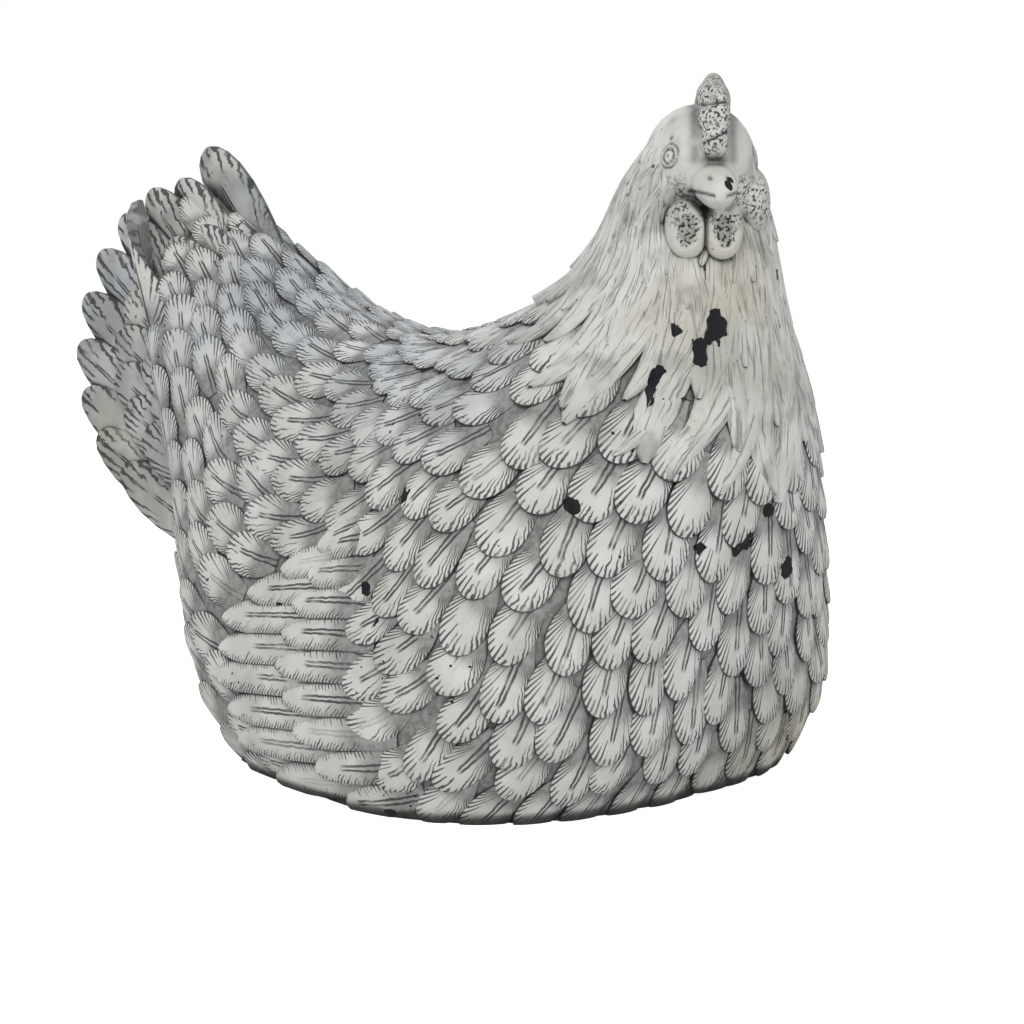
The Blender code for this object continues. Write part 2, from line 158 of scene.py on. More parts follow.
def domed(points, dome):
    """The rings of a loft with rings added that round off both ends, dome of their radius deep."""
    rings = list(points)
    for end, inner in ((0, 1), (-1, -2)):
        last = rings[end]
        middle = last.mean(axis=0)
        outward = unit(middle - rings[inner].mean(axis=0))
        depth = dome * np.linalg.norm(last - middle, axis=1).mean()
        for turn in (30, 55, 75):
            ring = middle + (last - middle) * cos(radians(turn)) + outward * depth * sin(radians(turn))
            rings.insert(0 if end == 0 else len(rings), ring)
    return rings


def plumage_shape(start, end, rings, around, dome, inset=0.0):
    """The body from start to end as a closed shape, a grid of faces with round ends. It lies
    inset under the skin."""
    s = np.linspace(start, end, rings)[:, None]
    t = np.linspace(0, 2 * pi, around, endpoint=False)
    points = plumage(s, t) - inset * slopes(s, t)[2]
    shape = bmesh.new()
    loops = [[shape.verts.new(p) for p in ring] for ring in domed(points, dome)]
    for low, high in zip(loops, loops[1:]):
        for k in range(around):
            n = (k + 1) % around
            shape.faces.new((low[k], low[n], high[n], high[k]))
    shape.faces.new(loops[0][::-1])
    shape.faces.new(loops[-1])
    bmesh.ops.recalc_face_normals(shape, faces=shape.faces)
    return shape


def label(mesh, plume, size, mark):
    """Writes on each corner of a mesh where it lies on its feather, and the feather's size."""
    for name, values in (("plume", plume), ("size", size), ("mark", mark)):
        corners = np.broadcast_to(np.asarray(values, np.float32), (len(mesh.loops), 3))
        layer = mesh.attributes.new(name, "FLOAT_VECTOR", "CORNER")
        layer.data.foreach_set("vector", np.ascontiguousarray(corners).ravel())


def add_shape(name, shape, plume=(0.5, 0.0, 0.5), size=(30.0, 8.0, 0.0), mark=(0.0, 0.0, 0.0)):
    """Puts a shape into the casting."""
    mesh = bpy.data.meshes.new(name)
    shape.to_mesh(mesh)
    shape.free()
    label(mesh, plume, size, mark)
    made = bpy.data.objects.new(name, mesh)
    casting.objects.link(made)
    return made


body = add_shape("body", plumage_shape(0, 1, 110, 96, RUMP_DOME))


# Body feathers: staggered rows of round-tipped feathers, each a thin raised tongue that overlaps
# the next row. They are part of the casting, modelled one by one in the maker's clay.
ROW_PITCH = 0.0148
FEATHER_SPACING = 0.0161
FEATHER_LENGTH = 0.029
FEATHER_RISE = 0.0034
FEATHER_SINK = 0.0022
FEATHER_ROOT = 0.46
FEATHER_COVER = 0.51
FEATHER_DOME = 0.30
FEATHER_TURN = 0.10
FEATHER_TILT = 0.00035
REAR_GROWTH = 0.24
BACK_SHRINK = 0.08
REAR_START = (-0.02, 0.06)
BACK_START = (0.14, 0.17)
FRINGE_BACK = 0.255
FRINGE_BREAST = 0.290
UNDER_FRINGE = 0.12
QUILLS = 10
WING_TOP = 0.106
QUILL_PITCH = 0.0112
WING_FRONT = -0.020
WING_SLANT = 0.0045
WING_REACH = 0.068
QUILL_DROOP = 0.012
SEED = 7
TIP_START = 0.60
ROW_STEPS = (0.0, 0.14, 0.28, 0.44, 0.60)
TIP_TURNS = (22.0, 42.0, 60.0, 74.0, 84.0)
ACROSS_STEPS = (-1.0, -0.88, -0.45, 0.0, 0.45, 0.88, 1.0)

s_grid, t_grid = np.linspace(0, 1, 261), np.linspace(-pi, pi, 241)
grid = plumage(s_grid[:, None], t_grid[None, :])
flow_grid = np.vstack([
    np.zeros(len(t_grid)),
    np.cumsum(np.linalg.norm(np.diff(grid, axis=0), axis=2), axis=0),
])
mean_flow = flow_grid.mean(axis=1)


def outline(root_width):
    """A feather's outline on a lattice of rows and columns: u along, v across, and edge nearness."""
    rows = [(u, root_width + (1 - root_width) * sin(pi / 2 * u / TIP_START)) for u in ROW_STEPS]
    rows += [(TIP_START + (1 - TIP_START) * sin(radians(a)), cos(radians(a))) for a in TIP_TURNS]
    u = np.array([r[0] for r in rows])[:, None] * np.ones(len(ACROSS_STEPS))
    v = np.array([r[1] for r in rows])[:, None] * np.array(ACROSS_STEPS)
    edge = np.maximum(np.abs(np.array(ACROSS_STEPS)), (u - TIP_START) / (1 - TIP_START))
    return u, v, np.clip(edge, 0, 1)


def lattice_faces(rows, columns):
    """Faces of a closed shell whose top and bottom are lattices of the same size."""
    k = np.arange(rows * columns).reshape(rows, columns)
    below = k + rows * columns
    faces = []
    for i in range(rows - 1):
        for j in range(columns - 1):
            faces.append((k[i, j], k[i, j + 1], k[i + 1, j + 1], k[i + 1, j]))
            faces.append((below[i + 1, j], below[i + 1, j + 1], below[i, j + 1], below[i, j]))
    rim = [*k[0], *k[1:, -1], *k[-1, -2::-1], *k[-2:0:-1, 0]]
    for a, b in zip(rim, rim[1:] + rim[:1]):
        faces.append((b, a, a + rows * columns, b + rows * columns))
    return [tuple(int(c) for c in face) for face in faces]


SHELLS = {}


def add_shell(name, top, bottom, plume, size, kind, two_faced=False):
    """Puts one feather into the casting: a closed shell between two lattices of points."""
    rows, columns = top.shape[:2]
    faces = SHELLS.setdefault((rows, columns), lattice_faces(rows, columns))
    mesh = bpy.data.meshes.new(name)
    points = np.concatenate([top.reshape(-1, 3), bottom.reshape(-1, 3)])
    mesh.from_pydata(points.tolist(), [], faces)
    a, b, c, d = (points[[face[i] for face in faces]] for i in range(4))
    if np.sum(a * (np.cross(b, c) + np.cross(c, d))) < 0:
        mesh.flip_normals()
    corners = np.empty(len(mesh.loops), int)
    mesh.loops.foreach_get("vertex_index", corners)
    u, v, edge = plume
    here = np.stack([np.stack([u, v, edge], -1).reshape(-1, 3)] * 2).reshape(-1, 3)
    if not two_faced:
        here[rows * columns:, 2] = 1.0
    label(mesh, here[corners], (size[0] * 1000, size[1] * 1000, kind + size[2]), (0.0, 0.0, 0.0))
    made = bpy.data.objects.new(name, mesh)
    casting.objects.link(made)


def tongue_height(u, v, edge, rise, dome, tilt):
    """How far a feather stands off the body: it rises to its tip and rolls down at its edge."""
    height = rise * (0.12 + 0.88 * u) * (1 - dome * v * v) + tilt * v
    return height - 0.22 * rise * step(0.80, 1.0, edge)


def flow_at(s, t):
    """Flow length from the nape to s, t."""
    i = np.clip(s * (len(s_grid) - 1), 0, len(s_grid) - 1.001)
    k = np.clip((t + pi) % (2 * pi) / (2 * pi) * (len(t_grid) - 1), 0, len(t_grid) - 1.001)
    a, b = i.astype(int), k.astype(int)
    f, g = i - a, k - b
    low = flow_grid[a, b] * (1 - g) + flow_grid[a, b + 1] * g
    high = flow_grid[a + 1, b] * (1 - g) + flow_grid[a + 1, b + 1] * g
    return low * (1 - f) + high * f


def rows_from(start, pitch):
    """The s of rows that lie a pitch apart, on average round the hen."""
    first = np.interp(start, s_grid, mean_flow)
    return np.interp(np.arange(first, mean_flow[-1], pitch), mean_flow, s_grid)


def quill_tip(row):
    """How far back a long wing feather reaches, counted in rows from the top."""
    return WING_REACH * sin(pi * (row + 0.35) / (QUILLS - 0.3))


def in_wing(point):
    """Whether a point of the body lies under the folded wing's long feathers."""
    row = (WING_TOP - point[2]) / QUILL_PITCH
    if not -0.5 < row < QUILLS:
        return False
    front = WING_FRONT - WING_SLANT * row
    return front - 0.2 * QUILL_DROOP < point[1] < quill_tip(row) - 0.4 * FEATHER_LENGTH


def feather_spots():
    """Where the body feathers grow: s, t, the place and the size, as a share of the breast's.
    They are set from the nape to the tail, each as close to the last ones as its size lets it."""
    spots, taken = [], np.empty((0, 3))
    half_turn = np.linspace(0, pi, 181)
    fine = ROW_PITCH / 8
    for s in rows_from(FRINGE_BACK - UNDER_FRINGE, fine):
        ring = plumage(s, half_turn)
        arc = np.concatenate([[0], np.cumsum(np.linalg.norm(np.diff(ring, axis=0), axis=1))])
        turns = np.interp(np.arange(0, arc[-1], fine), arc, half_turn)
        turns = np.concatenate([turns, -turns[::-1]])
        places = plumage(s, turns)
        by_s, _, out = slopes(s, turns)
        along = unit(by_s)
        across = np.cross(out, along)
        high = step(*BACK_START, places[:, 2])
        rear = step(*REAR_START, places[:, 1]) * (1 - 0.6 * high)
        share = 1 - BACK_SHRINK * high + REAR_GROWTH * rear
        fringe = FRINGE_BACK + (FRINGE_BREAST - FRINGE_BACK) * (1 - np.cos(turns)) / 2
        shown = flow_at(s, turns) + 1.15 * FEATHER_LENGTH * share > flow_at(fringe, turns)
        shown &= places[:, 2] > -0.8 * FEATHER_LENGTH
        for k in np.flatnonzero(shown):
            apart = taken - places[k]
            row = apart @ along[k] / (ROW_PITCH / cos(radians(30)))
            column = np.hypot(apart @ across[k], apart @ out[k]) / FEATHER_SPACING
            if np.all(np.hypot(row, column) > share[k]) and not in_wing(places[k]):
                spots.append((s, turns[k], places[k], share[k]))
                taken = np.vstack([taken, places[k]])
    return spots


def on_body(s, t, forward, across, turn=0.0):
    """s and t of points that lie forward and across of s, t, in metres, turned by an angle."""
    by_s, by_t, out = slopes(s, t)
    along = unit(by_s)
    side = np.cross(out, along)
    forward, across = forward * cos(turn) - across * sin(turn), across * cos(turn) + forward * sin(turn)
    dt = across / (by_t @ side)
    ds = (forward - dt * (by_t @ along)) / (by_s @ along)
    return s + ds, t + dt


def skin_at(s, t):
    """Points of the body and its outward direction, carried on straight past its two ends."""
    inner = np.clip(s, 0.004, 0.996)
    by_s, _, out = slopes(inner, t)
    return plumage(inner, t) + by_s * (s - inner)[..., None], out


chance = np.random.default_rng(SEED)
u, v, edge = outline(FEATHER_ROOT)
for k, (s, t, here, share) in enumerate(feather_spots()):
    length = FEATHER_LENGTH * share * chance.uniform(0.94, 1.06)
    half = FEATHER_COVER * FEATHER_SPACING * share * chance.uniform(0.92, 1.06)
    turn = chance.normal(0, FEATHER_TURN)
    tilt, tone = chance.normal(0, FEATHER_TILT), chance.uniform(0, 0.99)
    ss, tt = on_body(s, t, u * length, v * half, turn)
    skin, out = skin_at(ss, tt)
    rise = FEATHER_RISE * min(share, 1)
    top = skin + out * tongue_height(u, v, edge, rise, FEATHER_DOME, tilt)[..., None]
    bottom = skin - out * FEATHER_SINK
    add_shell(f"feather_{k}", top, bottom, (u, v, edge), (length, half, tone), FEATHER)


# Neck hackle: long wavy locks that hang from the head over the shoulders and end in a fringe
# of points. Each is a low rounded ridge of the casting.
LOCK_COUNT = 26
LOCK_ROWS = 7
LOCK_ROW_PITCH = 0.0165
LOCK_LENGTH = 0.062
LOCK_RISE = 0.0042
LOCK_SHORTEST = 0.020
LOCK_SWAY = (0.06, 0.15)
LOCK_COVER = (0.52, 0.74)
LOCK_ROUND = 0.62
NECK_RADIUS = 0.06
LOCK_STEPS = (0.0, 0.12, 0.24, 0.36, 0.48, 0.60, 0.70, 0.79, 0.87, 0.94, 0.985)

chance = np.random.default_rng(SEED + 1)
lock_u = np.array(LOCK_STEPS)[:, None] * np.ones(len(ACROSS_STEPS))
lock_edge = np.abs(np.array(ACROSS_STEPS)) * np.ones_like(lock_u)
lock_width = np.interp(
    LOCK_STEPS, (0, 0.3, 0.65, 0.87, 0.94, 0.985), (0.7, 1.0, 0.92, 0.55, 0.36, 0.14)
)[:, None]
for row in range(LOCK_ROWS):
    for k in range(LOCK_COUNT):
        middle = 2 * pi * (k + 0.5 * (row % 2) + chance.normal(0, 0.12)) / LOCK_COUNT
        tip = -row * LOCK_ROW_PITCH + chance.normal(0, 0.004)
        sway, phase = chance.uniform(*LOCK_SWAY), chance.uniform(0, 2 * pi)
        length = LOCK_LENGTH * chance.uniform(0.85, 1.15)
        tone, wide = chance.uniform(0, 0.99), chance.uniform(*LOCK_COVER)
        fringe = FRINGE_BACK + (FRINGE_BREAST - FRINGE_BACK) * (1 - cos(middle)) / 2
        end = flow_at(fringe, middle) + tip
        if end < LOCK_SHORTEST:
            continue
        length = min(length, end)
        bend = sway * np.sin(phase + 4.0 * lock_u)
        t = middle + bend + np.array(ACROSS_STEPS) * lock_width * 2 * pi / LOCK_COUNT * wide
        flow = end + (lock_u - 1) * length
        column = np.round((t + pi) % (2 * pi) / (2 * pi) * (len(t_grid) - 1)).astype(int)
        s = np.array([
            [np.interp(f, flow_grid[:, c], s_grid) for f, c in zip(*pair)] for pair in zip(flow, column)
        ])
        s -= 0.002 * np.linspace(1, 0, len(LOCK_STEPS))[:, None]
        rise = LOCK_RISE * (1 - 0.45 * min(1, row / 3))
        skin, out = skin_at(s, t)
        v = np.array(ACROSS_STEPS) * np.ones_like(lock_u)
        top = skin + out * (rise * (0.3 + 0.7 * lock_u) * (1 - LOCK_ROUND * v * v))[..., None]
        bottom = skin - out * FEATHER_SINK
        half = wide * pi / LOCK_COUNT * NECK_RADIUS
        plume = (lock_u, v * lock_width, lock_edge)
        add_shell(f"lock_{row}_{k}", top, bottom, plume, (length, half, tone), LOCK)


# Folded wings: long feathers that lie level along each side and fan out behind, in two layers.
# They are part of the casting.
QUILL_RISE = 0.0033
QUILL_COVER = 0.60
QUILL_LAYERS = ((0, 1.0), (1, 0.52))
UPPER_RISE = 0.25
QUILL_TILT = 0.0009
QUILL_STEPS = (0.0, 0.10, 0.20, 0.30, 0.40, 0.50, 0.60, 0.70, 0.80, 0.88, 0.94, 0.98)

side_index = np.flatnonzero(np.abs(np.sin(t_grid)) > 0.35)
side_s, side_t = np.meshgrid(s_grid[60:], t_grid[side_index], indexing="ij")
side_points = plumage(side_s, side_t)
flank = {}
for side in (-1, 1):
    tree = KDTree(side_s.size)
    for i in np.flatnonzero((side_points[..., 0] * side).ravel() > 0):
        point = side_points.reshape(-1, 3)[i]
        tree.insert((0.0, point[1], point[2]), i)
    tree.balance()
    flank[side] = tree


def on_flank(side, y, z):
    """s and t of the points on one side of the body that lie at y, z."""
    near = np.array([flank[side].find((0.0, a, b))[1] for a, b in zip(y.ravel(), z.ravel())])
    s, t = side_s.ravel()[near].reshape(y.shape), side_t.ravel()[near].reshape(y.shape)
    for _ in range(4):
        by_s, by_t, _ = slopes(s, t)
        off = np.stack([y, z], -1) - plumage(s, t)[..., 1:]
        det = by_s[..., 1] * by_t[..., 2] - by_s[..., 2] * by_t[..., 1]
        det = np.where(np.abs(det) < 1e-9, 1e-9, det)
        s = s + np.clip((off[..., 0] * by_t[..., 2] - off[..., 1] * by_t[..., 1]) / det, -0.01, 0.01)
        t = t + np.clip((off[..., 1] * by_s[..., 1] - off[..., 0] * by_s[..., 2]) / det, -0.03, 0.03)
    return s, t


chance = np.random.default_rng(SEED + 2)
quill_u = np.array(QUILL_STEPS)[:, None] * np.ones(len(ACROSS_STEPS))
quill_v = np.array(ACROSS_STEPS) * np.ones_like(quill_u)
quill_width = np.interp(
    QUILL_STEPS, (0, 0.1, 0.8, 0.88, 0.94, 0.98), (0.8, 0.95, 1.0, 0.86, 0.62, 0.28)
)[:, None]
for side in (-1, 1):
    for layer, share in QUILL_LAYERS:
        for i in range(QUILLS - layer):
            row = i + 0.5 * layer
            root_y, root_z = WING_FRONT - WING_SLANT * row, WING_TOP - QUILL_PITCH * row
            length = (quill_tip(row) - root_y) * share * chance.uniform(0.95, 1.04)
            half = QUILL_COVER * QUILL_PITCH
            v = quill_v * quill_width
            y = root_y + quill_u * length
            z = root_z - QUILL_DROOP * quill_u * share + v * half
            s, t = on_flank(side, y, z)
            skin, out = plumage(s, t), slopes(s, t)[2]
            rise = QUILL_RISE * (1 + UPPER_RISE * layer)
            height = rise * (0.1 + 0.9 * step(0.0, 0.5, quill_u)) * (1 - 0.35 * v * v)
            height -= QUILL_TILT * quill_v
            top = skin + out * (height - 0.25 * rise * step(0.8, 1.0, np.abs(quill_v)))[..., None]
            bottom = skin - out * FEATHER_SINK
            add_shell(
                f"quill_{side}_{layer}_{i}", top, bottom, (quill_u, v, np.abs(quill_v)),
                (length, half, chance.uniform(0, 0.99)), QUILL,
            )


# Tail: two flared fans of round-tipped feathers with one crest feather between them, and rows of
# short covert feathers over their roots. They are part of the casting.
FAN_FEATHERS = 9
FAN_PIVOT = (0.100, 0.150)
FAN_TOP = 39.0
FAN_BOTTOM = -25.0
FAN_REACH = 0.142
FAN_ROUNDING = 0.092
FAN_LONGEST = 0.375
FAN_CROWDING = 1.25
FAN_LEAN_TOP = 46.0
FAN_LEAN_BOTTOM = 27.0
FAN_FLARE_TOP = 0.012
FAN_FLARE_BOTTOM = 0.050
FAN_SPREAD = 0.18
FAN_TWIST = (0.15, 0.3)
# Each ring: how far in from the fan's tips, how far outward, a feather's size, and its stagger
FAN_RINGS = (
    (0.0, 0.0, (0.009, 0.076, 0.0250), 0.0),
    (0.030, -0.0040, (0.017, 0.092, 0.0340), 0.0),
    (0.034, 0.0030, (0.010, 0.054, 0.0260), 0.5),
    (0.057, 0.0045, (0.012, 0.070, 0.0280), 0.0),
)
CREST_TURN = 44.7
CREST_REACH = 0.135
CREST_SIZE = (0.011, 0.080, 0.027)


def tail_feather(name, turn, reach, lean, flare, size, tone):
    """A round-tipped tail feather. Its tip lies at turn and reach from the pivot, flare off the
    middle, and the feather leans back by lean."""
    turn, lean = radians(turn), radians(lean)
    tip = Vector((flare, FAN_PIVOT[0] + reach * cos(turn), FAN_PIVOT[1] + reach * sin(turn)))
    root = tip - size[1] * Vector((FAN_SPREAD * flare / FAN_FLARE_BOTTOM, cos(lean), sin(lean)))
    forward = (tip - root).normalized()
    flat = Vector((1, *FAN_TWIST)) if flare > 0 else Vector((1, *(-twist for twist in FAN_TWIST)))
    flat = (flat - flat.dot(forward) * forward).normalized()
    up = flat.cross(forward)
    u, v, edge = outline(0.5)
    along = np.array(root) + u[..., None] * size[1] * np.array(forward)
    spread = v[..., None] * size[2] / 2 * np.array(up)
    thick = size[0] / 2 * np.sqrt(np.clip(1.02 - edge**2, 0, 1))
    thick *= 0.55 + 0.45 * np.sin(pi * np.clip(u, 0.2, 0.8))
    outward = 1 if flare >= 0 else -1
    top = along + spread + (thick * outward)[..., None] * np.array(flat)
    bottom = along + spread - (thick * outward)[..., None] * np.array(flat)
    add_shell(name, top, bottom, (u, v, edge), (size[1], size[2] / 2, tone), TAIL, two_faced=True)


chance = np.random.default_rng(SEED + 3)
tail_feather("crest", CREST_TURN, CREST_REACH, FAN_LEAN_TOP, 0.0, CREST_SIZE, 0.4)
for ring, (inward, outward, size, stagger) in enumerate(FAN_RINGS):
    for f in np.arange(stagger, FAN_FEATHERS - 0.5 - stagger) / (FAN_FEATHERS - 1):
        turn = FAN_TOP + (FAN_BOTTOM - FAN_TOP) * f**FAN_CROWDING
        reach = FAN_REACH - FAN_ROUNDING * (f - FAN_LONGEST) ** 2 - inward
        lean = FAN_LEAN_TOP + (FAN_LEAN_BOTTOM - FAN_LEAN_TOP) * f
        flare = FAN_FLARE_TOP + (FAN_FLARE_BOTTOM - FAN_FLARE_TOP) * sin(pi / 2 * f) + outward
        for side in (-1, 1):
            name = f"fan_{ring}_{side}_{f:.3f}"
            tail_feather(name, turn, reach, lean, side * flare, size, chance.uniform(0, 0.99))


# Head: skull, comb, beak, cheeks and wattles, modelled in one with the neck. The comb and the face
# have a pitted skin, the wattles a raised rim, and the eyes are drawn in the clay as two rings.
HEAD_CENTRE = (0.0, -0.096, 0.230)
HEAD_SIZE = (0.041, 0.058, 0.052)
HEAD_TURN = 39.0
BEAK_SIZE = (0.0165, 0.031, 0.0145)
JAW_SIZE = (0.0100, 0.018, 0.006)
WATTLE_SIZE = (0.0150, 0.012, 0.0212)
CHEEK_SIZE = (0.013, 0.023, 0.025)
COMB_SIZE = (0.0115, 0.052, 0.034)
COMB_LEAN = 0.0032
COMB_SKEW = 0.15
COMB_CREASES = ((0.0250, 0.10), (0.0130, 0.45))
WATTLE_LEAN = 0.0032
WATTLE_GAP = 0.0131
COMB_LOBE_SIZE = (0.012, 0.014, 0.015)
COMB_POINTS = (
    (0.48, 0.21), (0.42, 0.37), (0.32, 0.50), (0.13, 0.53), (-0.07, 0.50), (-0.24, 0.41),
)
HEAD_VOXEL = 0.0007
EYE_PLACE = (0.0143, 0.0195, 0.0068)
EYE_SIZE = (0.0034, 0.0034)
FAR_EYE_BACK = 0.0075
# Rings round an eye's middle: how far out in eye radii, how wide, and how high or how dark
EYE_RELIEF = ((1.0, 0.13, 0.0005), (1.28, 0.10, -0.0004), (0.74, 0.10, -0.0005), (0.0, 0.17, -0.0009))
EYE_WASH = ((1.24, 0.09, 0.85), (0.76, 0.09, 0.85), (0.0, 0.17, 1.0))
EYE_BALL = (0.68, 0.0006)
EAR_PIT = (-0.3, 1.9, 0.24)
PIT_DEPTH = 0.0006
WATTLE_DEPTH = 0.0017
PARTING_DEPTH = 0.0008
CREASE_DEPTH = 0.0009
MOUTH_DEPTH = 0.0006
MOUTH_SLOPE = 0.28


def egg(size, place, fullness=1.0):
    """A ball of the given width, length and height. Fullness under 1 squares its ends off."""
    shape = bmesh.new()
    bmesh.ops.create_uvsphere(shape, u_segments=24, v_segments=14, radius=1.0)
    for vert in shape.verts:
        shares = [abs(c) ** fullness * (1 if c > 0 else -1) for c in vert.co]
        vert.co = Vector([c * w / 2 for c, w in zip(shares, size)])
    shape.transform(place)
    return shape


def head_place(across, forward, up, roll=0.0, pitch=0.0, yaw=0.0):
    """A place in the head's frame, from its centre."""
    turned = Matrix.Translation(HEAD_CENTRE) @ Matrix.Rotation(radians(-HEAD_TURN), 4, "Z")
    tilt = Matrix.Rotation(radians(pitch), 4, "X") @ Matrix.Rotation(radians(roll), 4, "Y")
    swung = Matrix.Rotation(radians(yaw), 4, "Z") @ tilt
    return turned @ Matrix.Translation((across, -forward, up)) @ swung


width, length, height = HEAD_SIZE
head_shapes = [egg(HEAD_SIZE, head_place(0, 0, 0), 0.92)]
head_shapes.append(egg(BEAK_SIZE, head_place(0, 0.49 * length, -0.06 * height, pitch=22), 1.1))
head_shapes.append(egg(JAW_SIZE, head_place(0, 0.47 * length, -0.145 * height, pitch=22)))
for side in (-1, 1):
    cheek = head_place(side * 0.43 * width, 0.17 * length, -0.18 * height, yaw=-side * 20)
    head_shapes.append(egg(CHEEK_SIZE, cheek))
    wattle_across = side * WATTLE_GAP / 2 - WATTLE_LEAN
    wattle = head_place(wattle_across, 0.475 * length, -0.365 * height, roll=side * 5)
    head_shapes.append(egg(WATTLE_SIZE, wattle, 0.9))
head_shapes.append(egg(COMB_SIZE, head_place(COMB_LEAN, 0.12 * length, 0.38 * height, yaw=-4)))
for forward, up in COMB_POINTS:
    comb_across = COMB_LEAN + COMB_SKEW * (0.12 - forward) * length
    lobe = [c * (0.82 if up < 0.3 else 1.0) for c in COMB_LOBE_SIZE]
    head_shapes.append(egg(lobe, head_place(comb_across, forward * length, up * height)))


def fused(name, shapes, voxel):
    """One skin round all the shapes."""
    whole = bmesh.new()
    for shape in shapes:
        part = bpy.data.meshes.new("part")
        shape.to_mesh(part)
        shape.free()
        whole.from_mesh(part)
        bpy.data.meshes.remove(part)
    rough = bpy.data.meshes.new(name)
    whole.to_mesh(rough)
    whole.free()
    solid = bpy.data.objects.new(name, rough)
    bpy.context.scene.collection.objects.link(solid)
    skin = solid.modifiers.new("Skin", "REMESH")
    skin.mode = "VOXEL"
    skin.voxel_size = voxel
    ease = solid.modifiers.new("Ease", "SMOOTH")
    ease.iterations = 3
    bpy.context.view_layer.update()
    seen = solid.evaluated_get(bpy.context.evaluated_depsgraph_get())
    mesh = bpy.data.meshes.new_from_object(seen)
    bpy.data.objects.remove(solid)
    bpy.data.meshes.remove(rough)
    mesh.name = name
    return mesh


def hump(value, middle, width):
    """1 where the value is at the middle, and soon 0 to either side."""
    return np.exp(-(((value - middle) / width) ** 2))


head_mesh = fused("head", head_shapes, HEAD_VOXEL)
count = len(head_mesh.vertices)
points, normals = np.empty(count * 3), np.empty(count * 3)
head_mesh.vertices.foreach_get("co", points)
head_mesh.vertex_normals.foreach_get("vector", normals)
points, normals = points.reshape(-1, 3), normals.reshape(-1, 3)
into_head = np.array(head_place(0, 0, 0).inverted())
local = points @ into_head[:3, :3].T + into_head[:3, 3]
across, forward, up = local[:, 0], -local[:, 1], local[:, 2]
relief, head_wash_and_shade = np.zeros(count), np.zeros(count)
for side in (-1, 1):
    back = FAR_EYE_BACK * (side > 0)
    centre = np.array([side * (EYE_PLACE[0] + 0.4 * back), EYE_PLACE[1] - back, EYE_PLACE[2]])
    outward = unit(np.array([side * 0.79, 0.56 - 40 * back, 0.245]))
    sideways = unit(np.cross(outward, (0, 0, 1.0)))
    offset = np.stack([across, forward, up], -1) - centre
    near = np.abs(offset @ outward) < 0.006
    level = (offset @ sideways) / EYE_SIZE[0]
    upright = offset[:, 2] / EYE_SIZE[1]
    r = np.where(near, np.hypot(level, upright), 9.0)
    relief += EYE_BALL[1] * np.clip(1 - (r / EYE_BALL[0]) ** 2, 0, 1)
    for ring, wide, high in EYE_RELIEF:
        relief += high * hump(r, ring, wide)
    for ring, wide, shade in EYE_WASH:
        head_wash_and_shade = np.maximum(head_wash_and_shade, shade * hump(r, ring, wide))
    pit = hump(np.hypot(level - EAR_PIT[0], upright - EAR_PIT[1]), 0.0, EAR_PIT[2]) * near
    relief -= PIT_DEPTH * pit
    head_wash_and_shade = np.maximum(head_wash_and_shade, pit)
points = points + normals * relief[:, None]
off_skull = np.hypot(np.hypot(across / (width / 2), forward / (length / 2)), up / (height / 2))
comb_line = COMB_LEAN + COMB_SKEW * (0.12 * length - forward)
comb = (up > 0.0035) & (np.abs(across - comb_line) < 0.0068) & (off_skull > 1.06)
face = step(0.0, 0.008, forward - 0.008) * (1 - step(-0.004, 0.003, up)) * step(-0.021, -0.014, up)
beak = (forward > 0.026) & (np.abs(across) < 0.0095) & (up < 0.0035) & (up > -0.0135)
pitted = np.where(comb, 1.2, np.where(beak, 0.0, 1.1 * face))
for side in (-1, 1):
    middle = side * WATTLE_GAP / 2 - WATTLE_LEAN
    r = np.hypot((across - middle + 0.09 * side * (up + 0.019)) / 0.0072, (up + 0.0192) / 0.0102)
    r = np.where((forward > 0.026) & (up < -0.0100), r, 9.0)
    hollow = 1 - step(0.40, 0.72, r)
    points -= normals * (WATTLE_DEPTH * hollow)[:, None]
    pitted = np.maximum(pitted, 2.2 * (1 - step(0.48, 0.66, r)))
    head_wash_and_shade = np.maximum(head_wash_and_shade, 0.50 * (1 - step(0.40, 0.64, r)))
parting = hump(across, -WATTLE_LEAN, 0.00045) * (forward > 0.026)
parting *= step(-0.029, -0.027, up) * (1 - step(-0.0135, -0.0115, up))
points -= normals * (PARTING_DEPTH * parting)[:, None]
for crease_up, slope in COMB_CREASES:
    crease = hump(up - slope * (across - comb_line), crease_up, 0.0005) * comb
    crease *= (forward > 0.006) * (np.abs(across - comb_line) < 0.0045)
    points -= normals * (CREASE_DEPTH * crease)[:, None]
    head_wash_and_shade = np.maximum(head_wash_and_shade, 0.95 * crease)
# Wash and painted shade: a dark band along both sides of the comb's foot, where it meets the skull.
comb_foot_wash_and_shade = hump(np.abs(across - comb_line), 0.0068, 0.0020) * step(0.002, 0.006, up)
# Painted shadow under the front of the comb, between it and the beak.
shadow_under_comb = hump(up, 0.0055, 0.002) * hump(across, 0.0, 0.007) * (forward > 0.02)
comb_foot_wash_and_shade = np.maximum(comb_foot_wash_and_shade * (off_skull < 1.22), shadow_under_comb)
lobe_edge = hump(forward, -0.002, 0.0011)
lobe_edge *= step(-0.017, -0.013, up) * (1 - step(0.0, 0.004, up))
